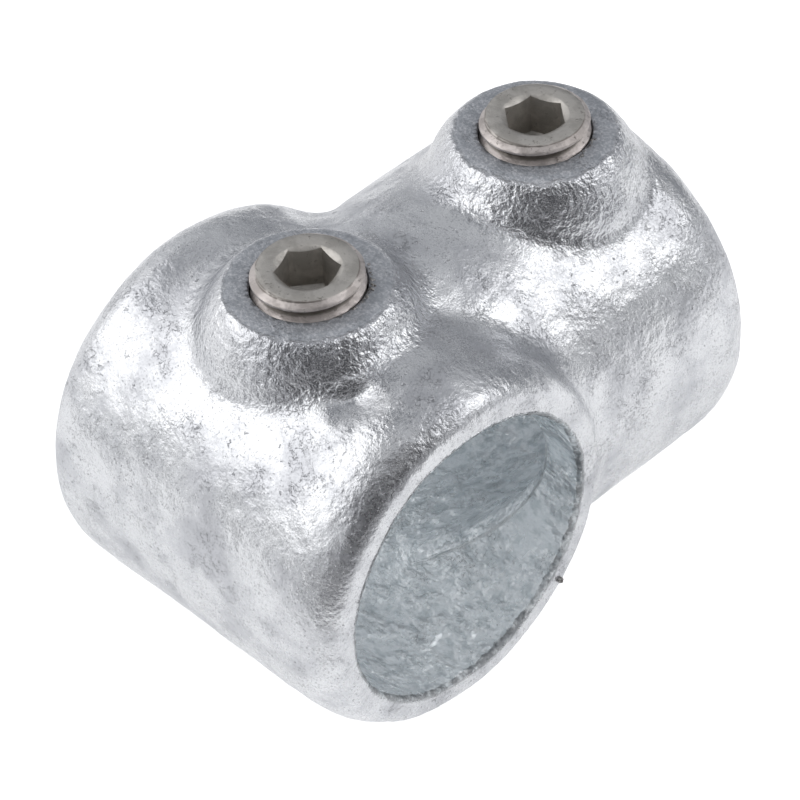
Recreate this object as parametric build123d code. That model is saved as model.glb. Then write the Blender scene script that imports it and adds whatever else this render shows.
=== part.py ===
from build123d import *
import os

# Tube clamp tee: a through collar with a stem socket at 90 degrees, cast in one piece,
# and two socket set screws. Origin where the two bore axes cross; +X runs out of the
# collar, +Y out of the stem socket, +Z up along the screws.

# ---------------------------------------------------------------- driving dimensions, mm
tube_od = 26.9                # 3/4 in nominal structural tube
tube_gap = 0.3                # clearance: radial, tube to cast bore

wall = 4.1                    # collar barrel wall
near_end_step = 0.75          # the collar's +X end face stands this much past the stem barrel's side
far_end_step = -0.65          # and its -X end face stops this much short of it
stem_reach = 38.4             # collar bore axis to the mouth of the stem socket
stem_root_step = 0.15         # the stem barrel starts this much below the collar's surface
stem_mouth_step = 0.05        # and flares to this much above it at its mouth
near_rounding = 5.0           # length of each rounded end, along its barrel
far_rounding = 3.4
stem_rounding = 4.8
end_ring = 1.6                # ring left between a rounded end and the bore
mouth_break = 0.45            # rounding at the three bore mouths
waist_blend = 5.0             # between the collar and the stem barrel

socket_web = 2.25             # collar bore wall to the ledge at the bottom of the socket
ledge = 0.55                  # width of that ledge, which stops the tube
passage_rounding = 2.0        # where the way on from the ledge opens into the collar bore

boss_rise = 2.75              # spot-faced boss tops, above the ridge of the collar
boss_flat_radius = 7.35
boss_spread = 2.94            # a boss is this much wider at its foot, on the radius
boss_crown = 0.6              # how far its side swells past the straight line from foot to flat
boss_root = 0.28              # depth of that foot's sides in the barrel
boss_to_mouth = 0.01          # foot of the stem boss to the socket mouth
boss_blend = 2.5              # boss side into barrel

thread_major = 10.0           # M10 coarse; the thread is a plain cylinder here
thread_gap = 0.05             # clearance: radial, screw to tapped hole
screw_length = 8.0
screw_stand = 1.7             # screw top faces, above the boss tops
screw_face_radius = 4.4
screw_face_chamfer = 0.6
cup_point_radius = 3.0        # rim of the cup that bites the tube
cup_point_taper = 1.6
cup_radius = 2.55
cup_depth = 1.1
hex_across_flats = 5.0
hex_depth = 4.2
hex_lead_in = 0.25
collar_hex_turn = 51.5        # how far each screw happens to be turned, degrees
stem_hex_turn = 20.6

# ---------------------------------------------------------------- derived
bore_radius = tube_od / 2 + tube_gap
collar_radius = bore_radius + wall
collar_near_end = collar_radius + near_end_step
collar_far_end = collar_radius + far_end_step
ring_radius = bore_radius + end_ring
passage_radius = bore_radius - ledge
ledge_reach = bore_radius + socket_web
boss_foot_radius = boss_flat_radius + boss_spread
boss_top = collar_radius + boss_rise
boss_foot = (collar_radius ** 2 - boss_foot_radius ** 2) ** 0.5 - boss_root
boss_side = SagittaArc((boss_foot_radius, boss_foot), (boss_flat_radius, boss_top), -boss_crown)
screw_spacing = stem_reach - boss_to_mouth - boss_foot_radius
thread_radius = thread_major / 2
hole_radius = thread_radius + thread_gap
screw_top = boss_top + screw_stand
far_beyond = 2 * stem_reach


# ---------------------------------------------------------------- casting
def barrel(start, start_rounding, end, end_rounding, start_radius, end_radius):
    """Solid barrel along +X, closing at each rounded end in a quarter-ellipse."""
    with BuildSketch(Plane.XZ) as profile:
        with BuildLine():
            if start_rounding:
                first = (start + start_rounding, start_radius)
                EllipticalCenterArc((first[0], ring_radius), start_rounding, start_radius - ring_radius,
                                    90, arc_size=90)
                Polyline((start, ring_radius), (start, 0), (end, 0), (end, ring_radius))
            else:
                first = (start, start_radius)
                Polyline(first, (start, 0), (end, 0), (end, ring_radius))
            Line(first, (end - end_rounding, end_radius))
            EllipticalCenterArc((end - end_rounding, ring_radius), end_rounding, end_radius - ring_radius,
                                90, arc_size=-90)
        make_face()
    return Rot(X=180) * revolve(profile.sketch, Axis.X, 360)


def boss(y):
    """Screw boss with swelling sides, standing on the ridge of a barrel and cut off flat."""
    with BuildSketch(Plane.XZ) as half_section:
        with BuildLine():
            add(boss_side)
            Polyline((boss_flat_radius, boss_top), (0, boss_top), (0, boss_foot), (boss_foot_radius, boss_foot))
        make_face()
    return Pos(Y=y) * revolve(half_section.sketch, Axis.Z, 360)


def drill(radius, depth):
    """Round tool from the origin up +Z."""
    return Cylinder(radius, depth, align=(Align.CENTER, Align.CENTER, Align.MIN))


def on_boss_side(edge, y):
    """True for an edge where the boss at this y meets a barrel."""
    p, centre = edge @ 0.5, boss_side.arc_center
    swell = boss_side.radius ** 2 - (p.Z - centre.Y) ** 2
    return p.Z < boss_top - 1 and abs(Vector(p.X, p.Y - y, 0).length - centre.X - swell ** 0.5) < 0.02


def at_passage_mouth(edge):
    """True for the edge where the cored passage opens into the collar bore."""
    points = [edge @ t for t in (0.1, 0.5, 0.9)]
    return all(p.Y > 0 and abs(Vector(0, p.Y, p.Z).length - bore_radius) < 0.02
               and abs(Vector(p.X, 0, p.Z).length - passage_radius) < 0.02 for p in points)


def at_bore_mouth(edge):
    """True for the three circles where a tube bore leaves an end face."""
    p, reach = edge.arc_center, (collar_near_end, -collar_far_end, stem_reach)
    return abs(edge.radius - bore_radius) < 0.01 and (
        min(abs(p.X - reach[0]), abs(p.X - reach[1]), abs(p.Y - reach[2])) < 0.01)


collar = barrel(-collar_far_end, far_rounding, collar_near_end, near_rounding, collar_radius, collar_radius)
stem = Rot(Z=90) * barrel(0, 0, stem_reach, stem_rounding,
                          collar_radius - stem_root_step, collar_radius + stem_mouth_step)
casting = collar + stem
casting = fillet(casting.edges().filter_by(GeomType.BSPLINE), waist_blend)

for y in (0, screw_spacing):
    casting += boss(y)
    casting = fillet([e for e in casting.edges().filter_by(GeomType.BSPLINE) if on_boss_side(e, y)],
                     boss_blend)

collar_bore = Pos(X=far_beyond / 2) * Rot(Y=-90) * drill(bore_radius, far_beyond)
socket_bore = Pos(Y=ledge_reach) * Rot(X=-90) * drill(bore_radius, far_beyond)
passage = Rot(X=-90) * drill(passage_radius, ledge_reach)
casting -= collar_bore + socket_bore + passage
casting = fillet([e for e in casting.edges() if at_passage_mouth(e)], passage_rounding)
for y in (0, screw_spacing):
    casting -= Pos(Y=y) * drill(hole_radius, far_beyond)
mouths = [e for e in casting.edges().filter_by(GeomType.CIRCLE) if at_bore_mouth(e)]
casting = fillet(mouths, mouth_break)


# ---------------------------------------------------------------- set screws
def set_screw(y, hex_turn):
    """Cup-point socket set screw, top face at screw_top, standing at this y."""
    with BuildSketch(Plane.XZ) as half_section:
        with BuildLine():
            Polyline((0, 0), (screw_face_radius, 0), (thread_radius, -screw_face_chamfer),
                     (thread_radius, cup_point_taper - screw_length), (cup_point_radius, -screw_length),
                     (cup_radius, -screw_length), (0, cup_depth - screw_length), (0, 0))
        make_face()
    screw = revolve(half_section.sketch, Axis.Z, 360)
    corner_radius = hex_across_flats / 3 ** 0.5
    key_way = RegularPolygon(corner_radius, 6)
    screw -= Pos(Z=-hex_depth) * extrude(key_way, hex_depth)
    screw -= Pos(Z=-hex_lead_in) * Cone(corner_radius - hex_lead_in, corner_radius + hex_lead_in,
                                        2 * hex_lead_in)
    return Pos(0, y, screw_top) * Rot(Z=hex_turn) * screw


parts = {
    "casting": casting,
    "collar_set_screw": set_screw(0, collar_hex_turn),
    "stem_set_screw": set_screw(screw_spacing, stem_hex_turn),
}
os.makedirs("parts", exist_ok=True)
for name, solid in parts.items():
    export_step(solid, f"parts/{name}.step")
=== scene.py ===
"""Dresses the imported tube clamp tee: galvanised casting, two socket set screws, grit and a pale studio."""

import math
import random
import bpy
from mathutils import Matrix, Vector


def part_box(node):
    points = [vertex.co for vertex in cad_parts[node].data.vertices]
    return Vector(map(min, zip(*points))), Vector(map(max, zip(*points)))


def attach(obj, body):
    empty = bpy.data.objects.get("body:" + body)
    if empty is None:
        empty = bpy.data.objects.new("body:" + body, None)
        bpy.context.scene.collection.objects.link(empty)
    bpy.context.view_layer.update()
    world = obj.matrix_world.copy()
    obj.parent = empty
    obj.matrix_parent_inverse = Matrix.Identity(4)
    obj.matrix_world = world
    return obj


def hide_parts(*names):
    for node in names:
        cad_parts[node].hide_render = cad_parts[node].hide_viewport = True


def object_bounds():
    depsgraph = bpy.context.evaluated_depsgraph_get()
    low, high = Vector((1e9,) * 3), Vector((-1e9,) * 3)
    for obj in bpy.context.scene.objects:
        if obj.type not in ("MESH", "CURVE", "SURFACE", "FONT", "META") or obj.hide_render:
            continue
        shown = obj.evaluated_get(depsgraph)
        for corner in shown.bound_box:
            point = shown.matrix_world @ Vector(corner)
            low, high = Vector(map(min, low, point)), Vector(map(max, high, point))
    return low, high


bl_info = {
    "name": "Tube Clamp Tee",
    "version": (1, 0, 0),
    "blender": (4, 5, 0),
    "location": "View3D > Sidebar > Tube Tee",
    "description": "Builds the look of a galvanised tube clamp tee around its CAD frame",
    "category": "Add Mesh",
}

from types import SimpleNamespace

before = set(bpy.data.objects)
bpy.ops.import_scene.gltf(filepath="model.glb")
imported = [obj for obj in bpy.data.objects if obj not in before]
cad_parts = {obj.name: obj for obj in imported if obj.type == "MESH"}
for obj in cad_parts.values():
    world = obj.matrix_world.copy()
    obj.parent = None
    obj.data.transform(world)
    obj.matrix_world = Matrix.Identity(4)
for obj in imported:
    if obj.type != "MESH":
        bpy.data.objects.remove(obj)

import bmesh
import bpy
import numpy as np
from bpy.props import FloatProperty, FloatVectorProperty, PointerProperty
from mathutils import Matrix, Vector, noise
from mathutils.bvhtree import BVHTree

MM = 0.001
CAD_BOX = [list(corner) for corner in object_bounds()]


def frame_mm(metres):
    """A length from the frame in millimetres, rounded to the micrometre."""
    return round(metres / MM, 3)


# Sizes that the dressing shares with the solids, in millimetres
COLLAR_NEAR_END = frame_mm(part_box("casting")[1][0])
BOSS_TOP = frame_mm(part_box("casting")[1][2])
SCREW_TOP = frame_mm(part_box("collar_set_screw")[1][2])
SCREW_LENGTH = SCREW_TOP - frame_mm(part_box("collar_set_screw")[0][2])
SCREW_Y = (0.0, 28.1)            # the collar's screw and the stem's
BORE_RADIUS = 13.75
LEDGE_REACH = 16.0               # from the collar's axis to the ledge that stops the tube
BOSS_FLAT_RADIUS = 7.35
TAPPED_RADIUS = 5.05
CUP_RIM_RADIUS = 3.0
CUP_RADIUS = 2.55
CUP_DEPTH = 1.1

# Sizes that only the dressing has, in millimetres
MOUTH_RADIUS = 5.2               # worn mouth of a tapped hole
BOSS_FOOT_RADIUS = 12.0          # ring round a screw where its boss has run out into the barrel
FACE_EDGE = 4.43                 # middle of the soft edge round a screw's top face
KEY_DEPTH = 4.1                  # of the socket's straight sides
THREAD_FRONT = 48.6              # azimuth, in degrees, at which a thread's first crest is placed
NICK_PLACE = (9.9, -4.8, 17.3)   # dent where the collar boss meets the barrel
NICK_DEPTH = 0.62
RIM_CRUMB = (COLLAR_NEAR_END + 0.12, 11.0, -10.8)
RIM_CRUMB_SIZE = 0.50

# Each set screw: piece, CAD node, body, its y, turn of its hexagon in degrees, first crest below its top
SCREWS = (
    ("collar_screw_steel", "collar_set_screw", "collar_screw", SCREW_Y[0], 51.5, 0.56),
    ("stem_screw_steel", "stem_set_screw", "stem_screw", SCREW_Y[1], 20.6, 0.60),
)

# Grit round each screw: its y, first and last direction in degrees, how many crumbs
GRIT_ARCS = (
    (SCREW_Y[0], -25, 75, 34),
    (SCREW_Y[1], -30, 45, 14),
)

# Fixed colours; the ones that a user would change are in the settings
DULL_ZINC = (0.62, 0.63, 0.66, 1.0)
ZINC_SPECK = (0.36, 0.365, 0.38, 1.0)
# colour that the pits and squiggles are darkened towards
PIT_DARK = (0.16, 0.165, 0.18, 1.0)
BORE_SHADE = (0.60, 0.66, 0.70, 1.0)
# painted glints: pale specks laid into the colour inside the bores
PAINTED_GLINT_SPECK = (0.95, 0.98, 1.0, 1.0)
# pale colour that the bores turn towards near their bottom
LOW_BORE_PALE = (0.94, 0.97, 0.99, 1.0)
# painted shade in the hollows between the runs inside the bores
RUN_HOLLOW_SHADE = (0.40, 0.46, 0.49, 1.0)
# painted shadow in a band just inside the collar's near mouth
LIP_PAINTED_SHADOW = (0.22, 0.23, 0.24, 1.0)
FLAT_STAIN = (0.30, 0.32, 0.35, 1.0)
WORN_STEEL = (0.46, 0.44, 0.41, 1.0)
BRIGHT_RIM = (0.64, 0.59, 0.565, 1.0)
STAINED_RIM = (0.47, 0.43, 0.41, 1.0)
# stains on the screws, and painted shade in the thread roots and along the face's edge
GRIME_AND_GROOVE_SHADE = (0.10, 0.085, 0.07, 1.0)
DARK_GRIT = (0.09, 0.085, 0.08, 1.0)
PALE_GRIT = (0.42, 0.415, 0.41, 1.0)
WHITE = (1.0, 1.0, 1.0, 1.0)

# Lamps: name, azimuth, elevation, width and height in metres, brightness, whether the metal mirrors it
LAMPS = (
    ("left_softbox", 312.0, 38.0, (0.62, 0.62), 0.60, True),
    ("right_softbox", 140.0, 42.0, (0.32, 0.46), 0.92, True),
    ("fill_card", 78.0, 18.0, (0.5, 0.5), 4.2, False),
)
LAMP_DISTANCE = 0.7              # metres

# The room that the metal mirrors: azimuth, elevation, full within, gone beyond (degrees) and colour.
# A later patch lies over an earlier one.
ROOM_GREY = (0.46, 0.47, 0.485, 1.0)
ROOM = (
    (190, 72, 15, 45, (0.53, 0.54, 0.56, 1.0)),      # ceiling
    (50, 22, 25, 72, (0.17, 0.17, 0.18, 1.0)),       # dark side, round the camera
    (62, 32, 11, 38, (0.045, 0.045, 0.05, 1.0)),     # the darkest part of that side
    (262, 10, 15, 50, (0.62, 0.63, 0.65, 1.0)),      # pale wall behind the fitting, to the left
    (200, -5, 20, 55, (0.28, 0.29, 0.31, 1.0)),      # dark wall behind it, low and to the right
    (348, 16, 8, 30, (0.72, 0.73, 0.75, 1.0)),       # pale card low in front, to the left
    (302, 36, 26, 46, (0.95, 0.95, 0.96, 1.0)),      # big white sheet on the left
    (140, 42, 12, 30, (0.92, 0.92, 0.93, 1.0)),      # white sheet on the right
    (250, 66, 6, 20, (0.16, 0.17, 0.19, 1.0)),       # dark gap high up behind the fitting
    (185, 0, 10, 40, (0.22, 0.23, 0.25, 1.0)),       # foot of the dark wall
    (28, 12, 2, 6, WHITE),                           # three small windows on the camera's side
    (74, 8, 2, 6, WHITE),
    (60, 50, 2, 6, WHITE),
)


# ------------------------------------------------------------------ settings
class TubeTeeCasting(bpy.types.PropertyGroup):
    voxel: FloatProperty(name="Mesh Size", description="Edge length of the casting's dressed mesh",
                         default=0.0004, min=0.0003, max=0.002, precision=5, unit="LENGTH")
    swell: FloatProperty(name="Swell", description="Height of the broad unevenness left by the sand mould",
                         default=0.00011, min=0.0, max=0.0005, precision=5, unit="LENGTH")
    ripple: FloatProperty(name="Ripple", description="Height of the ripples frozen into the zinc",
                          default=0.00003, min=0.0, max=0.0003, precision=6, unit="LENGTH")
    zinc: FloatVectorProperty(name="Zinc", description="Colour of the clean zinc coat",
                              default=(0.79, 0.80, 0.82), min=0.0, max=1.0, subtype="COLOR")
    bore_zinc: FloatVectorProperty(name="Bore Zinc", description="Colour of the duller coat inside the bores",
                                   default=(0.76, 0.82, 0.86), min=0.0, max=1.0, subtype="COLOR")
    flat_zinc: FloatVectorProperty(name="Boss Flats", description="Colour of the matt coat on the boss tops",
                                   default=(0.42, 0.44, 0.475), min=0.0, max=1.0, subtype="COLOR")


class TubeTeeScrews(bpy.types.PropertyGroup):
    major: FloatProperty(name="Thread Diameter", description="Diameter over the thread crests",
                         default=0.010, min=0.004, max=0.02, precision=5, unit="LENGTH")
    pitch: FloatProperty(name="Pitch", description="Rise of the thread in one turn",
                         default=0.0015, min=0.0005, max=0.003, precision=5, unit="LENGTH")
    across_flats: FloatProperty(name="Hexagon", description="Width of the key socket across its flats",
                                default=0.005, min=0.002, max=0.01, precision=5, unit="LENGTH")
    steel: FloatVectorProperty(name="Steel", description="Colour of the plated steel",
                               default=(0.58, 0.555, 0.52), min=0.0, max=1.0, subtype="COLOR")


class TubeTeeStage(bpy.types.PropertyGroup):
    azimuth: FloatProperty(name="Azimuth", description="Direction of the camera round the fitting",
                           default=math.radians(46.672), subtype="ANGLE", unit="ROTATION")
    elevation: FloatProperty(name="Elevation", description="Height of the camera above the horizon",
                             default=math.radians(42.793), subtype="ANGLE", unit="ROTATION")
    roll: FloatProperty(name="Roll", description="Tilt of the camera about its line of sight",
                        default=math.radians(2.836), subtype="ANGLE", unit="ROTATION")
    distance: FloatProperty(name="Distance", description="Camera to the point that it looks at",
                            default=0.300, min=0.1, max=5.0, unit="LENGTH")
    aim: FloatVectorProperty(name="Aim", description="The point that the camera looks at",
                             default=(0.0025521, 0.0075732, 0.0034224), subtype="TRANSLATION", unit="LENGTH")
    lens: FloatProperty(name="Lens", description="Focal length on a 36 mm wide frame, in millimetres",
                        default=151.875, min=10.0, max=500.0)


# ------------------------------------------------------------------ node building
def new_group(name, inputs, outputs):
    """Shader node group with typed sockets; returns (group, input node, output node)."""
    group = bpy.data.node_groups.new(name, "ShaderNodeTree")
    for label, kind in inputs:
        group.interface.new_socket(name=label, in_out="INPUT", socket_type=kind)
    for label, kind in outputs:
        group.interface.new_socket(name=label, in_out="OUTPUT", socket_type=kind)
    return group, group.nodes.new("NodeGroupInput"), group.nodes.new("NodeGroupOutput")


class Graph:
    """Short calls for adding nodes to one tree. Most return the new node's output."""

    def __init__(self, tree):
        self.tree = tree

    def put(self, value, socket):
        """Links an output to the socket, or sets a plain value on it."""
        if isinstance(value, bpy.types.NodeSocket):
            self.tree.links.new(value, socket)
        else:
            socket.default_value = value

    def node(self, kind, inputs=None, **settings):
        made = self.tree.nodes.new(kind)
        for key, value in settings.items():
            setattr(made, key, value)
        for key, value in (inputs or {}).items():
            self.put(value, made.inputs[key])
        return made

    def math(self, operation, a, b=0.0, c=0.0):
        made = self.node("ShaderNodeMath", operation=operation)
        for socket, value in zip(made.inputs, (a, b, c)):
            self.put(value, socket)
        return made.outputs[0]

    def times(self, a, b):
        return self.math("MULTIPLY", a, b)

    def larger(self, a, b):
        return self.math("MAXIMUM", a, b)

    def apart(self, a, b):
        """How far two values lie from each other."""
        return self.math("ABSOLUTE", self.math("SUBTRACT", a, b))

    def reach(self, a, b):
        """Length of the diagonal of these two sides."""
        return self.math("SQRT", self.math("ADD", self.times(a, a), self.times(b, b)))

    def ramp(self, value, low, high, to_low=0.0, to_high=1.0):
        """Smooth step from to_low at low to to_high at high."""
        made = self.node("ShaderNodeMapRange", {"Value": value, "From Min": low, "From Max": high,
                                                "To Min": to_low, "To Max": to_high},
                         interpolation_type="SMOOTHSTEP")
        return made.outputs["Result"]

    def noise(self, where, scale, detail=3.0, roughness=0.55, distortion=0.0):
        """Noise round 0.5, with about this many lumps in a millimetre."""
        made = self.node("ShaderNodeTexNoise", {"Vector": where, "Scale": scale, "Detail": detail,
                                                "Roughness": roughness, "Distortion": distortion})
        return made.outputs["Fac"]

    def mix(self, amount, a, b):
        """From colour or vector a to b."""
        made = self.node("ShaderNodeMix", {"Factor": amount}, data_type="RGBA")
        self.put(a, made.inputs[6])
        self.put(b, made.inputs[7])
        return made.outputs[2]

    def blend(self, amount, a, b):
        """From value a to b."""
        made = self.node("ShaderNodeMix", {"Factor": amount}, data_type="FLOAT")
        self.put(a, made.inputs[2])
        self.put(b, made.inputs[3])
        return made.outputs[0]

    def stretch(self, where, factors):
        made = self.node("ShaderNodeVectorMath", {0: where, 1: factors}, operation="MULTIPLY")
        return made.outputs[0]

    def along(self, where, way):
        """How far a place lies in this direction."""
        made = self.node("ShaderNodeVectorMath", {0: where, 1: way}, operation="DOT_PRODUCT")
        return made.outputs["Value"]

    def bump(self, height, strength, distance, shader):
        made = self.node("ShaderNodeBump", {"Height": height, "Strength": strength, "Distance": distance})
        self.put(made.outputs["Normal"], shader.inputs["Normal"])


def rgba(colour):
    return (*colour, 1.0)


def new_material(name):
    """Material with its default nodes kept; returns (material, graph, shader, millimetre coordinates)."""
    made = bpy.data.materials.new(name)
    made.use_nodes = True
    g = Graph(made.node_tree)
    coords = g.node("ShaderNodeTexCoord").outputs["Object"]
    where = g.node("ShaderNodeVectorMath", {0: coords, "Scale": 1.0 / MM}, operation="SCALE")
    return made, g, made.node_tree.nodes["Principled BSDF"], where.outputs[0]


# ------------------------------------------------------------------ zinc
def zinc_skin_group():
    """Skin of a dipped sand casting; coordinates in millimetres.

    Height adds the peel, ripples, grain and lumps, each at its own input's strength, and takes the pits
    away. Mottle, Calm and Speckle are plain noises, from broad to fine, for the material to use again.
    """
    strengths = ("Peel", "Ripple", "Grain", "Pits", "Lumps")
    results = ("Height", "Pit Mask", "Mottle", "Calm", "Speckle")
    group, entry, leave = new_group(
        "zinc_skin", [("Where", "NodeSocketVector")] + [(label, "NodeSocketFloat") for label in strengths],
        [(label, "NodeSocketFloat") for label in results])
    g = Graph(group)
    where = entry.outputs["Where"]
    mottle = g.noise(where, 0.16, detail=4.0, roughness=0.65)
    calm = g.noise(where, 0.31, detail=2.0, roughness=0.5)
    peel = g.noise(where, 2.3, detail=2.0, roughness=0.55)
    height = g.times(peel, g.times(entry.outputs["Peel"], g.ramp(calm, 0.34, 0.64, 0.35, 1.25)))
    for label, scale, roughness in (("Lumps", 1.15, 0.5), ("Ripple", 0.85, 0.5), ("Grain", 6.0, 0.6)):
        layer = g.noise(where, scale, detail=2.0, roughness=roughness)
        height = g.math("MULTIPLY_ADD", layer, entry.outputs[label], height)
    pocks = g.ramp(g.noise(where, 1.15, detail=3.0, roughness=0.65), 0.665, 0.73)
    pinholes = g.ramp(g.noise(where, 3.2, detail=2.0, roughness=0.6), 0.69, 0.75)
    crease = g.apart(g.noise(where, 1.1, detail=3.0, roughness=0.6, distortion=0.9), 0.5)
    squiggle = g.times(g.ramp(crease, 0.016, 0.004), g.ramp(calm, 0.56, 0.64))
    pits = g.times(g.larger(g.larger(pocks, pinholes), squiggle), g.ramp(mottle, 0.35, 0.6, 0.35, 1.0))
    height = g.math("SUBTRACT", height, g.times(pits, entry.outputs["Pits"]))
    speckle = g.noise(where, 3.6, detail=2.0, roughness=0.7)
    for label, value in zip(results, (height, pits, mottle, calm, speckle)):
        g.put(value, leave.inputs[label])
    return group


def casting_zones(g, where):
    """Height of a place on the casting, and masks from 0 to 1 that mark out the casting's parts."""
    x, y, z = g.node("ShaderNodeSeparateXYZ", {0: where}).outputs[:3]
    wander = g.times(g.noise(where, 1.1, detail=3.0, roughness=0.6), 0.9)
    collar_wall = g.math("ADD", g.reach(y, z), g.times(wander, 0.35))
    in_collar = g.ramp(collar_wall, BORE_RADIUS + 0.75, BORE_RADIUS + 0.45)
    in_stem = g.times(g.ramp(g.reach(x, z), BORE_RADIUS + 0.75, BORE_RADIUS + 0.35), g.ramp(y, 4.0, 6.0))
    from_screw = g.math("MINIMUM", g.reach(x, y), g.reach(x, g.math("SUBTRACT", y, SCREW_Y[1])))
    near_flat = g.ramp(g.math("ADD", from_screw, wander), BOSS_FLAT_RADIUS + 0.62, BOSS_FLAT_RADIUS + 0.18)
    near_end = g.math("ADD", x, g.times(wander, 0.9))
    return SimpleNamespace(
        z=z,
        in_stem=in_stem,
        inside=g.larger(in_collar, in_stem),
        flat=g.times(near_flat, g.ramp(z, BOSS_TOP - 0.55, BOSS_TOP - 0.4)),
        lip=g.times(in_collar, g.ramp(near_end, COLLAR_NEAR_END - 0.15, COLLAR_NEAR_END + 0.02)),
        off_foot=g.ramp(g.apart(from_screw, BOSS_FOOT_RADIUS), 0.6, 2.4, 0.35, 1.0),
        boss_side=g.times(g.ramp(from_screw, 12.2, 9.6), g.ramp(z, 12.5, 15.0)))


def placed_skin(g, where, zones, skin):
    """Outputs of the skin group, placed in the material with its strengths set zone by zone."""
    relief = g.node("ShaderNodeGroup", node_tree=skin)
    inputs = {
        "Where": where,
        "Peel": g.blend(zones.flat, g.blend(zones.inside, g.times(zones.off_foot, 0.42), 1.10), 0.45),
        "Ripple": g.blend(zones.flat, g.blend(zones.inside, g.times(zones.off_foot, 0.62), 0.6), 0.0),
        "Grain": g.blend(g.larger(zones.boss_side, zones.inside), 0.14, 0.26),
        "Pits": 0.30,
        "Lumps": g.times(zones.boss_side, g.blend(zones.flat, 1.025, 0.0)),
    }
    for label, value in inputs.items():
        g.put(value, relief.inputs[label])
    return relief.outputs


def outside_colour(g, where, look, relief):
    """Bright zinc with duller clouds and dark specks."""
    cloudy = g.mix(g.ramp(relief["Mottle"], 0.38, 0.68), rgba(look.zinc), DULL_ZINC)
    specks = g.times(g.ramp(g.noise(where, 4.6, detail=2.0, roughness=0.7), 0.54, 0.67),
                     g.ramp(g.noise(where, 0.5, detail=2.0, roughness=0.6), 0.35, 0.62, 0.2, 0.75))
    return g.mix(specks, cloudy, ZINC_SPECK)


def bore_colour(g, where, look, zones, relief, runs):
    """Blue-grey mottled zinc with pale specks painted as glints, paler towards the bottom, with painted shade
    between the runs and a painted shadow at the near lip.
    """
    bore_coat_and_light = g.mix(g.ramp(relief["Mottle"], 0.36, 0.62), rgba(look.bore_zinc), BORE_SHADE)
    # Pale specks painted on as glints
    bore_coat_and_light = g.mix(g.times(g.ramp(relief["Speckle"], 0.46, 0.64), 0.8), bore_coat_and_light, PAINTED_GLINT_SPECK)
    # Paler towards the bottom of the bore
    bore_coat_and_light = g.mix(g.ramp(zones.z, 3.0, -7.0, 0.0, 0.62), bore_coat_and_light, LOW_BORE_PALE)
    # Painted shade where the runs dip
    bore_coat_and_light = g.mix(g.times(g.ramp(runs, 0.53, 0.36), 0.42), bore_coat_and_light, RUN_HOLLOW_SHADE)
    # Painted shadow, broken into patches, just inside the near lip
    lip_shadow_patches = g.ramp(g.noise(where, 0.8, detail=3.0, roughness=0.7), 0.35, 0.6, 0.35, 0.95)
    return g.mix(g.times(zones.lip, lip_shadow_patches), bore_coat_and_light, LIP_PAINTED_SHADOW)


def flat_colour(g, where, look, relief):
    """Matt grey of the spot-faced boss tops, stained in patches."""
    matt = g.mix(g.ramp(relief["Speckle"], 0.42, 0.66), rgba(look.flat_zinc), DULL_ZINC)
    stain = g.ramp(g.noise(where, 0.7, detail=3.0, roughness=0.6), 0.48, 0.62)
    return g.mix(g.times(stain, 0.5), matt, FLAT_STAIN)


def galvanised_material():
    """Bright rippled zinc outside, duller inside the bores, matt on the spot-faced boss tops."""
    look = bpy.context.scene.tube_tee_casting
    made, g, shader, where = new_material("galvanised_zinc")
    zones = casting_zones(g, where)
    relief = placed_skin(g, where, zones, zinc_skin_group())
    along_bore = g.mix(zones.in_stem, g.stretch(where, (0.65, 1.0, 1.0)), g.stretch(where, (1.0, 0.65, 1.0)))
    runs = g.noise(along_bore, 1.05, detail=2.0, roughness=0.5)

    colour = g.mix(zones.inside, outside_colour(g, where, look, relief),
                   bore_colour(g, where, look, zones, relief, runs))
    colour = g.mix(zones.flat, colour, flat_colour(g, where, look, relief))
    # Darker in the pits
    colour = g.mix(g.times(relief["Pit Mask"], 0.55), colour, PIT_DARK)
    g.put(colour, shader.inputs["Base Color"])

    rough = g.math("ADD", g.ramp(relief["Mottle"], 0.32, 0.68, 0.15, 0.34),
                   g.ramp(relief["Speckle"], 0.35, 0.7, -0.03, 0.12))
    rough = g.blend(zones.boss_side, rough, g.ramp(relief["Mottle"], 0.32, 0.68, 0.12, 0.24))
    rough = g.blend(zones.inside, rough, g.ramp(relief["Mottle"], 0.35, 0.65, 0.20, 0.34))
    g.put(g.blend(zones.flat, rough, 0.52), shader.inputs["Roughness"])
    g.put(g.blend(zones.inside, g.blend(zones.flat, 0.97, 0.70), 0.45), shader.inputs["Metallic"])

    uneven = g.times(g.ramp(relief["Calm"], 0.38, 0.62, 3.0, 9.0), g.ramp(zones.z, -9.0, 2.0, 0.4, 1.0))
    height = g.math("MULTIPLY_ADD", runs, g.times(zones.inside, uneven), relief["Height"])
    g.bump(height, 0.85, 0.22 * MM, shader)
    return made


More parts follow.
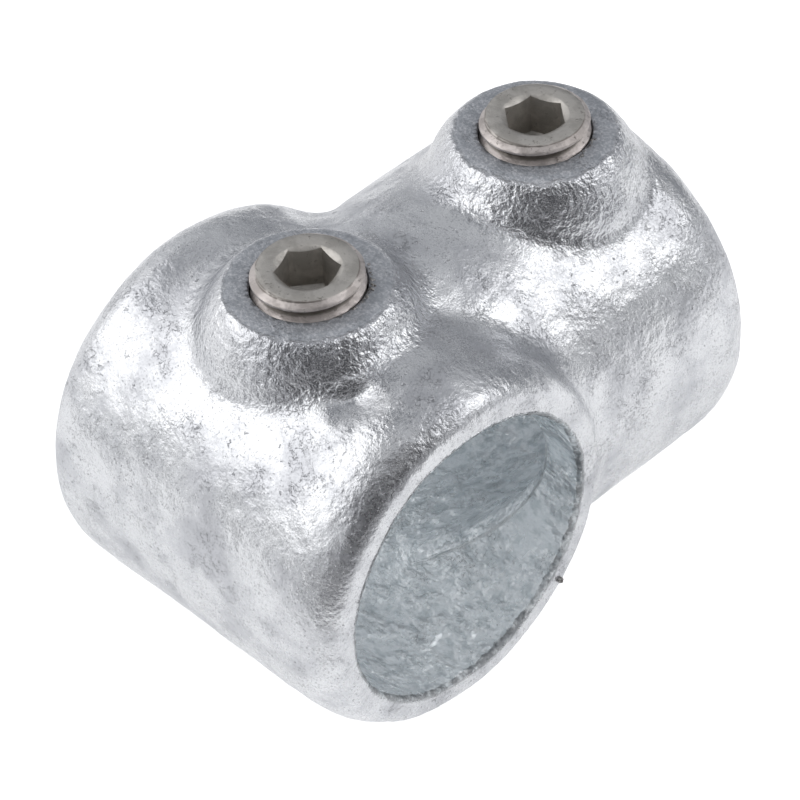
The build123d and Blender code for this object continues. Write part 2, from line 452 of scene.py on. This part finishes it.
# ------------------------------------------------------------------ steel and grit
def steel_material():
    """Dull plated steel of the set screws, stained and handled, with painted shade in the thread roots and
    along the top face's edge.
    """
    look = bpy.context.scene.tube_tee_screws
    made, g, shader, where = new_material("plated_steel")
    wear = g.noise(where, 0.55, detail=3.0, roughness=0.6, distortion=0.3)
    x, y, z = g.node("ShaderNodeSeparateXYZ", {0: where}).outputs[:3]
    along = g.math("MINIMUM", g.math("ABSOLUTE", y), g.apart(y, SCREW_Y[1]))
    radius = g.reach(x, along)

    colour = g.mix(g.ramp(wear, 0.40, 0.62), rgba(look.steel), WORN_STEEL)
    rim = g.ramp(radius, FACE_EDGE - 0.09, FACE_EDGE + 0.07)
    colour = g.mix(rim, colour, g.mix(g.ramp(wear, 0.45, 0.6), BRIGHT_RIM, STAINED_RIM))
    blotches = g.ramp(g.noise(where, 2.0, detail=3.0, roughness=0.7, distortion=0.3), 0.60, 0.70)
    blotches = g.times(blotches, g.ramp(radius, 2.6, 4.2, 0.25, 0.6))
    # Painted shade along the soft edge round the top face
    edge_line = g.times(g.ramp(g.apart(radius, FACE_EDGE), 0.09, 0.02, 0.0, 0.5), g.ramp(wear, 0.36, 0.52))
    blotches_and_edge_shade = g.larger(blotches, edge_line)
    # Painted shade in the thread roots
    root = g.times(g.ramp(radius, FACE_EDGE + 0.12, FACE_EDGE - 0.13),
                   g.ramp(z, SCREW_TOP - 0.55, SCREW_TOP - 0.75))
    root = g.times(root, g.ramp(radius, 3.0, 3.4, 0.0, 0.85))
    g.put(g.mix(g.larger(blotches_and_edge_shade, root), colour, GRIME_AND_GROOVE_SHADE), shader.inputs["Base Color"])

    shader.inputs["Metallic"].default_value = 0.85
    rough = g.math("ADD", g.ramp(wear, 0.35, 0.7, 0.36, 0.48), g.times(blotches_and_edge_shade, 0.2))
    g.put(rough, shader.inputs["Roughness"])
    dimples = g.noise(where, 1.6, detail=2.0, roughness=0.5)
    fine = g.noise(where, 7.0, detail=3.0, roughness=0.7)
    g.bump(g.math("MULTIPLY_ADD", dimples, 2.0, fine), 0.5, 0.06 * MM, shader)
    return made


def grit_material():
    """Dark crumbs of thread sealant and swarf."""
    made, g, shader, where = new_material("dark_grit")
    g.put(g.mix(g.ramp(g.noise(where, 3.0), 0.4, 0.65), DARK_GRIT, PALE_GRIT), shader.inputs["Base Color"])
    g.put(g.ramp(g.noise(where, 2.0), 0.4, 0.6, 0.55, 0.85), shader.inputs["Roughness"])
    return made


# ------------------------------------------------------------------ meshes
def voxel_copy(source, name, size):
    """New object with an even quad mesh over the CAD node's surface."""
    made = bpy.data.objects.new(name, source.data.copy())
    bpy.context.scene.collection.objects.link(made)
    weld = made.modifiers.new("weld", "WELD")
    weld.merge_threshold = 1e-7
    remesh = made.modifiers.new("even", "REMESH")
    remesh.mode = "VOXEL"
    remesh.voxel_size = size
    remesh.use_smooth_shade = True
    depsgraph = bpy.context.evaluated_depsgraph_get()
    even = bpy.data.meshes.new_from_object(made.evaluated_get(depsgraph))
    made.modifiers.clear()
    made.data = even
    even.name = name
    even.materials.clear()
    return made


def vertex_array(mesh):
    points = np.empty(len(mesh.vertices) * 3)
    mesh.vertices.foreach_get("co", points)
    return points.reshape(-1, 3)


def normal_array(mesh):
    normals = np.empty(len(mesh.vertices) * 3)
    mesh.vertex_normals.foreach_get("vector", normals)
    return normals.reshape(-1, 3)


def put_vertices(mesh, points):
    """Moves the mesh's vertices to these points, in metres."""
    mesh.vertices.foreach_set("co", points.ravel())
    mesh.update()


def onto_solid(points, source):
    """Each point moved to the nearest place on the CAD node's surface."""
    graph = bpy.context.evaluated_depsgraph_get()
    tree = BVHTree.FromObject(source, graph)
    return np.array([tree.find_nearest(Vector(p))[0][:] for p in points])


def smooth_step(value, low, high):
    t = np.clip((value - low) / (high - low), 0.0, 1.0)
    return t * t * (3.0 - 2.0 * t)


def hump(distance, width):
    """1 at no distance, falling away smoothly to 0 at this width."""
    return 1.0 - smooth_step(np.abs(distance), 0.0, width)


def noise_field(points, size, seed):
    """Perlin noise at each point, with lumps about this many millimetres across."""
    shift = Vector((seed * 17.3, seed * 5.1, seed * 9.7))
    return np.array([noise.noise(Vector(p) / size + shift) for p in points])


def eased(mesh, points, weight, times):
    """Points drawn towards the mean of their neighbours, by each point's weight, this many times."""
    ends = np.empty(len(mesh.edges) * 2, dtype=np.int32)
    mesh.edges.foreach_get("vertices", ends)
    a, b = ends.reshape(-1, 2).T
    total = len(points)
    share = np.bincount(a, minlength=total) + np.bincount(b, minlength=total)
    for _ in range(times):
        mean = np.stack([np.bincount(a, points[b, k], total) + np.bincount(b, points[a, k], total)
                         for k in range(3)], axis=1) / share[:, None]
        points = points + weight[:, None] * (mean - points)
    return points


def put_on_circle(points, chosen, centre_y, radius):
    """Moves the chosen points straight out or in to this radius round a screw's axis."""
    rx, ry = points[chosen, 0], points[chosen, 1] - centre_y
    out = np.hypot(rx, ry)
    points[chosen, 0] = rx / out * radius
    points[chosen, 1] = centre_y + ry / out * radius


def open_mouth(points, centre_y):
    """Widens the top of a tapped hole to its worn mouth."""
    out = np.hypot(points[:, 0], points[:, 1] - centre_y)
    worn = smooth_step(points[:, 2], BOSS_TOP - 0.9, BOSS_TOP)
    wide = TAPPED_RADIUS + (MOUTH_RADIUS - TAPPED_RADIUS) * worn
    near = (out < wide) & (out > TAPPED_RADIUS - 0.3) & (points[:, 2] > BOSS_TOP - 1.0)
    put_on_circle(points, near, centre_y, wide[near])


def crisp_mouth(points, centre_y, reach):
    """Pulls points near the mouth's edge onto it, so that a machined edge stays an edge."""
    out = np.hypot(points[:, 0], points[:, 1] - centre_y)
    near = np.hypot(out - MOUTH_RADIUS, points[:, 2] - BOSS_TOP) < reach
    put_on_circle(points, near, centre_y, MOUTH_RADIUS)
    points[near, 2] = BOSS_TOP


# ------------------------------------------------------------------ casting
def nick(points):
    """Depth of the dent beside the collar boss: steep on the boss's side, long and gentle outwards."""
    away = points - NICK_PLACE
    from_axis = math.hypot(*NICK_PLACE[:2])
    outward = (away[:, 0] * NICK_PLACE[0] + away[:, 1] * NICK_PLACE[1]) / from_axis
    sideways = (away[:, 1] * NICK_PLACE[0] - away[:, 0] * NICK_PLACE[1]) / from_axis
    pocket = smooth_step(outward, -1.1, 0.1) * (1.0 - smooth_step(outward, 0.1, 4.2))
    return NICK_DEPTH * pocket * hump(sideways, 2.8) * (points[:, 2] > 14)


def skin_lift(points, from_screw, from_stem_axis):
    """How far the casting's skin stands off the solid at each point, in millimetres."""
    look = bpy.context.scene.tube_tee_casting
    y, z = points[:, 1], points[:, 2]
    on_top = (from_screw < BOSS_FLAT_RADIUS - 0.3) & (z > BOSS_TOP - 0.3)
    in_hole = (from_screw < TAPPED_RADIUS + 0.3) & (z > 10)
    in_collar = np.hypot(y, z) < BORE_RADIUS + 0.25
    in_stem = (from_stem_axis < BORE_RADIUS + 0.25) & (y > 5) & ~in_collar
    swell = noise_field(points, 7.0, 1) + 0.6 * noise_field(points, 3.4, 2)
    ripple = noise_field(points, 1.7, 3) + 0.6 * noise_field(points, 0.95, 4)
    ripple *= 0.6 + 1.2 * smooth_step(noise_field(points, 5.0, 5), -0.25, 0.35)
    collar_runs = noise_field(points * (0.45, 1.0, 1.0), 1.25, 6)
    stem_runs = noise_field(points * (1.0, 0.45, 1.0), 1.25, 7)
    ripple = np.where(in_collar, 2.6 * collar_runs, np.where(in_stem, 2.6 * stem_runs, ripple))
    free = np.where(on_top | in_hole, 0.0, 1.0)
    return free * (look.swell / MM * swell + look.ripple / MM * ripple) - nick(points)


def dress_casting():
    look = bpy.context.scene.tube_tee_casting
    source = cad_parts["casting"]
    made = voxel_copy(source, "galvanised_casting", look.voxel)
    points = onto_solid(vertex_array(made.data), source) / MM
    x, y, z = points.T
    from_screw = np.minimum(*(np.hypot(x, y - centre) for centre in SCREW_Y))
    from_stem_axis = np.hypot(x, z)
    rims = hump(np.hypot(from_screw - BOSS_FLAT_RADIUS, z - BOSS_TOP), 0.9)
    passage = (from_stem_axis < BORE_RADIUS + 0.2) & (y > 5) & (y < LEDGE_REACH + 1.5)
    points = eased(made.data, points, np.maximum(0.8 * rims, 0.9 * passage), 5)
    put_vertices(made.data, points * MM)
    points = points + normal_array(made.data) * skin_lift(points, from_screw, from_stem_axis)[:, None]
    for centre in SCREW_Y:
        open_mouth(points, centre)
        crisp_mouth(points, centre, look.voxel / MM * 0.85)
    put_vertices(made.data, points * MM)
    made.data.materials.append(galvanised_material())
    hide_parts("casting")
    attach(made, "casting")


# ------------------------------------------------------------------ set screws
def ring_mesh(name, rings):
    """Closed mesh from rings of equal point counts, each an array of (x, y, z) in millimetres."""
    mesh = bpy.data.meshes.new(name)
    bm = bmesh.new()
    rows = [[bm.verts.new(Vector(p) * MM) for p in ring] for ring in rings]
    count = len(rows[0])
    for upper, lower in zip(rows, rows[1:]):
        for i in range(count):
            j = (i + 1) % count
            bm.faces.new((upper[i], upper[j], lower[j], lower[i]))
    bm.faces.new(rows[0])
    bm.faces.new(rows[-1][::-1])
    bmesh.ops.recalc_face_normals(bm, faces=bm.faces)
    bm.to_mesh(mesh)
    bm.free()
    return mesh


def screw_rings(centre_y, top, hex_turn, crest_drop, steps=144, rows_per_turn=20):
    """Rings from the floor of the key socket, over the top, down the thread and into the cup point."""
    sizes = bpy.context.scene.tube_tee_screws
    major, pitch = sizes.major / MM / 2, sizes.pitch / MM
    half_flats = sizes.across_flats / MM / 2
    turn = np.linspace(0, 2 * math.pi, steps, endpoint=False) + hex_turn
    from_flat = np.mod(turn - hex_turn, math.pi / 3) - math.pi / 6
    hexagon = half_flats / np.cos(from_flat)
    corner = half_flats / math.cos(math.pi / 6)
    lead = corner + 0.16
    bottom = -SCREW_LENGTH
    crest = -crest_drop - pitch * (math.radians(THREAD_FRONT - 90) - turn) / (2 * math.pi)

    def ring(radius, height):
        radius = np.broadcast_to(radius, turn.shape)
        height = np.broadcast_to(height, turn.shape)
        return np.stack([radius * np.cos(turn), centre_y + radius * np.sin(turn), top + height], axis=1)

    def thread(height):
        """Radius of the thread at this height, with a flat crest, soft flanks and half a pitch of depth."""
        phase = np.mod((height - crest) / pitch + 0.5, 1.0) - 0.5
        slope = np.clip((np.abs(phase) - 0.07) / 0.33, 0.0, 1.0)
        slope = slope * slope * (3 - 2 * slope) * 0.35 + slope * 0.65
        return major - 0.50 * pitch * slope

    def ends(height):
        """Largest radius that the chamfers leave: two slopes under the top face and one up from the cup."""
        return min(FACE_EDGE + 0.06 + (-height - 0.08) * 1.9, FACE_EDGE + 0.44 + (-height - 0.28) * 0.9,
                   CUP_RIM_RADIUS + 0.05 + (height - bottom) * 1.2)

    rings = [ring(0.25, -KEY_DEPTH - 0.65), ring(1.3, -KEY_DEPTH - 0.4)]
    rings += [ring(hexagon - 0.12, -KEY_DEPTH - 0.12)]
    rings += [ring(hexagon, -depth) for depth in (KEY_DEPTH, 3.0, 2.0, 1.2)]
    rings += [ring(hexagon, 0.55 * (hexagon - lead) - 0.05), ring(hexagon + 0.04, 0.55 * (hexagon - lead)),
              ring(lead - 0.03, -0.03), ring(lead + 0.06, 0.0), ring(3.75, 0.0),
              ring(FACE_EDGE - 0.05, 0.0), ring(FACE_EDGE + 0.03, -0.05)]
    for height in np.arange(-0.08, bottom + 0.05, -pitch / rows_per_turn):
        rings.append(ring(np.minimum(thread(height), ends(height)), height))
    rings += [ring(CUP_RIM_RADIUS, bottom), ring(CUP_RADIUS, bottom + 0.02), ring(1.4, bottom + 0.7),
              ring(0.2, bottom + CUP_DEPTH)]
    return rings


def dress_screw(name, node, body, centre_y, hex_turn, crest_drop, steel):
    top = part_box(node)[1][2] / MM
    rings = screw_rings(centre_y, top, math.radians(hex_turn), crest_drop)
    made = bpy.data.objects.new(name, ring_mesh(name, rings))
    bpy.context.scene.collection.objects.link(made)
    made.data.shade_smooth()
    made.data.set_sharp_from_angle(angle=math.radians(38))
    made.data.materials.append(steel)
    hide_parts(node)
    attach(made, body)


# ------------------------------------------------------------------ grit
def add_crumb(bm, place, size, chance):
    """One irregular crumb, flattened on the surface under it; place and size in millimetres."""
    made = bmesh.ops.create_icosphere(bm, subdivisions=2, radius=size * MM)
    squash = Vector((chance.uniform(0.7, 1.3), chance.uniform(0.7, 1.3), chance.uniform(0.45, 0.9)))
    shift = Vector([chance.uniform(-50, 50) for _ in range(3)])
    for vert in made["verts"]:
        rough = 1.0 + 0.45 * noise.noise(vert.co / (size * MM) * 1.3 + shift)
        vert.co = vert.co * squash * rough + Vector(place) * MM


def dress_grit():
    """Crumbs lodged round the screws, and one on the rim of the collar's near mouth."""
    chance = random.Random(7)
    bm = bmesh.new()
    for centre, first, last, count in GRIT_ARCS:
        for _ in range(count):
            turn = math.radians(chance.triangular(first, last, (first + last) / 2 + 10))
            out = chance.triangular(MOUTH_RADIUS + 0.04, MOUTH_RADIUS + 0.55, MOUTH_RADIUS + 0.06)
            size = chance.triangular(0.05, 0.17, 0.07)
            place = (out * math.cos(turn), centre + out * math.sin(turn), BOSS_TOP + 0.3 * size)
            add_crumb(bm, place, size, chance)
    add_crumb(bm, RIM_CRUMB, RIM_CRUMB_SIZE, chance)
    mesh = bpy.data.meshes.new("thread_grit")
    bm.to_mesh(mesh)
    bm.free()
    made = bpy.data.objects.new("thread_grit", mesh)
    bpy.context.scene.collection.objects.link(made)
    made.data.shade_smooth()
    made.data.materials.append(grit_material())
    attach(made, "casting")


# ------------------------------------------------------------------ stage
def direction(azimuth, elevation):
    """Unit vector towards a place round the fitting; angles in degrees, azimuth 0 at -Y and 90 at +X."""
    a, e = math.radians(azimuth), math.radians(elevation)
    return Vector((math.sin(a) * math.cos(e), -math.cos(a) * math.cos(e), math.sin(e)))


def floor_material():
    """Matt paper, white to the camera; to the metal, a pale sheet that turns dark in front of the fitting."""
    made, g, shader, where = new_material("floor_paper")
    shader.inputs["Base Color"].default_value = (0.90, 0.90, 0.90, 1.0)
    shader.inputs["Roughness"].default_value = 0.9
    shader.inputs["Emission Color"].default_value = WHITE
    path = g.node("ShaderNodeLightPath")
    glow = g.math("MULTIPLY_ADD", path.outputs["Is Camera Ray"], 0.62,
                  g.times(path.outputs["Is Glossy Ray"], 0.27))
    g.put(glow, shader.inputs["Emission Strength"])
    ahead = g.ramp(g.along(where, direction(45, 0)), 18.0, 130.0)
    dark = g.node("ShaderNodeBsdfDiffuse", {"Color": (0.27, 0.27, 0.28, 1.0)})
    both = g.node("ShaderNodeMixShader", {0: g.times(ahead, path.outputs["Is Glossy Ray"]),
                                          1: shader.outputs[0], 2: dark.outputs[0]})
    g.put(both.outputs[0], made.node_tree.nodes["Material Output"].inputs["Surface"])
    return made


def build_floor():
    """Pale floor just under the fitting, wide enough to fill the view."""
    mesh = bpy.data.meshes.new("floor")
    bm = bmesh.new()
    bmesh.ops.create_grid(bm, x_segments=4, y_segments=4, size=1.5)
    bm.to_mesh(mesh)
    bm.free()
    floor = bpy.data.objects.new("floor", mesh)
    floor.location = (0, 0, CAD_BOX[0][2] - 0.05 * MM)
    bpy.context.scene.collection.objects.link(floor)
    mesh.materials.append(floor_material())


def build_lamp(name, azimuth, elevation, size, brightness, mirrored):
    """Softbox of this surface brightness, LAMP_DISTANCE from the fitting and facing it."""
    data = bpy.data.lights.new(name, "AREA")
    data.shape = "RECTANGLE"
    data.size, data.size_y = size
    data.energy = brightness * math.pi * size[0] * size[1]
    lamp = bpy.data.objects.new(name, data)
    out = direction(azimuth, elevation)
    lamp.location = out * LAMP_DISTANCE
    lamp.rotation_euler = (-out).to_track_quat("-Z", "Y").to_euler()
    lamp.visible_glossy = mirrored
    bpy.context.scene.collection.objects.link(lamp)


def build_world():
    """White to the camera; the grey room with its dark side to everything else."""
    world = bpy.data.worlds.new("studio")
    bpy.context.scene.world = world
    world.use_nodes = True
    g = Graph(world.node_tree)
    towards = g.node("ShaderNodeTexCoord").outputs["Generated"]
    room = ROOM_GREY
    for azimuth, elevation, near, far, colour in ROOM:
        patch = g.ramp(g.along(towards, direction(azimuth, elevation)),
                       math.cos(math.radians(far)), math.cos(math.radians(near)))
        room = g.mix(patch, room, colour)
    seen = g.node("ShaderNodeLightPath").outputs["Is Camera Ray"]
    g.put(g.mix(seen, room, WHITE), world.node_tree.nodes["Background"].inputs["Color"])


def build_camera():
    view = bpy.context.scene.tube_tee_stage
    data = bpy.data.cameras.new("camera")
    data.sensor_width = 36.0
    data.lens = view.lens
    data.clip_start, data.clip_end = 0.01, 20.0
    camera = bpy.data.objects.new("camera", data)
    out = direction(math.degrees(view.azimuth), math.degrees(view.elevation))
    camera.location = Vector(view.aim) + out * view.distance
    turn = (-out).to_track_quat("-Z", "Y").to_matrix() @ Matrix.Rotation(-view.roll, 3, "Z")
    camera.rotation_euler = turn.to_euler()
    bpy.context.scene.collection.objects.link(camera)
    bpy.context.scene.camera = camera


# ------------------------------------------------------------------ operators
class TUBE_TEE_OT_casting(bpy.types.Operator):
    """Dress the casting in rippled, pitted zinc"""

    bl_idname = "tube_tee.casting"
    bl_label = "Galvanised Casting"

    def execute(self, context):
        dress_casting()
        return {"FINISHED"}


class TUBE_TEE_OT_screws(bpy.types.Operator):
    """Cut the threads and key sockets of both set screws"""

    bl_idname = "tube_tee.screws"
    bl_label = "Set Screws"

    def execute(self, context):
        steel = steel_material()
        for screw in SCREWS:
            dress_screw(*screw, steel)
        return {"FINISHED"}


class TUBE_TEE_OT_grit(bpy.types.Operator):
    """Strew the crumbs round the screws and on the collar's rim"""

    bl_idname = "tube_tee.grit"
    bl_label = "Grit"

    def execute(self, context):
        dress_grit()
        return {"FINISHED"}


class TUBE_TEE_OT_stage(bpy.types.Operator):
    """Lay the floor, hang the lamps and set the camera"""

    bl_idname = "tube_tee.stage"
    bl_label = "Floor, Lamps and Camera"

    def execute(self, context):
        build_floor()
        build_world()
        for lamp in LAMPS:
            build_lamp(*lamp)
        build_camera()
        context.scene.view_settings.view_transform = "Standard"
        return {"FINISHED"}


class TUBE_TEE_PT_panel(bpy.types.Panel):
    """Sidebar list of the fitting's pieces and their settings"""

    bl_label = "Tube Tee"
    bl_idname = "TUBE_TEE_PT_panel"
    bl_space_type = "VIEW_3D"
    bl_region_type = "UI"
    bl_category = "Tube Tee"

    def draw(self, context):
        column = self.layout.column()
        for operator in OPERATORS:
            column.operator(operator.bl_idname)
        for settings in SETTINGS:
            group = getattr(context.scene, settings)
            for name in group.__annotations__:
                column.prop(group, name)


OPERATORS = (TUBE_TEE_OT_casting, TUBE_TEE_OT_screws, TUBE_TEE_OT_grit, TUBE_TEE_OT_stage)
CLASSES = (TubeTeeCasting, TubeTeeScrews, TubeTeeStage, *OPERATORS, TUBE_TEE_PT_panel)
SETTINGS = {
    "tube_tee_casting": TubeTeeCasting,
    "tube_tee_screws": TubeTeeScrews,
    "tube_tee_stage": TubeTeeStage,
}


def register():
    for item in CLASSES:
        bpy.utils.register_class(item)
    for name, group in SETTINGS.items():
        setattr(bpy.types.Scene, name, PointerProperty(type=group))


def unregister():
    for name in SETTINGS:
        delattr(bpy.types.Scene, name)
    for item in reversed(CLASSES):
        bpy.utils.unregister_class(item)


def main():
    register()
    bpy.ops.tube_tee.casting()
    bpy.ops.tube_tee.screws()
    bpy.ops.tube_tee.grit()
    bpy.ops.tube_tee.stage()


if __name__ == "__main__":
    main()
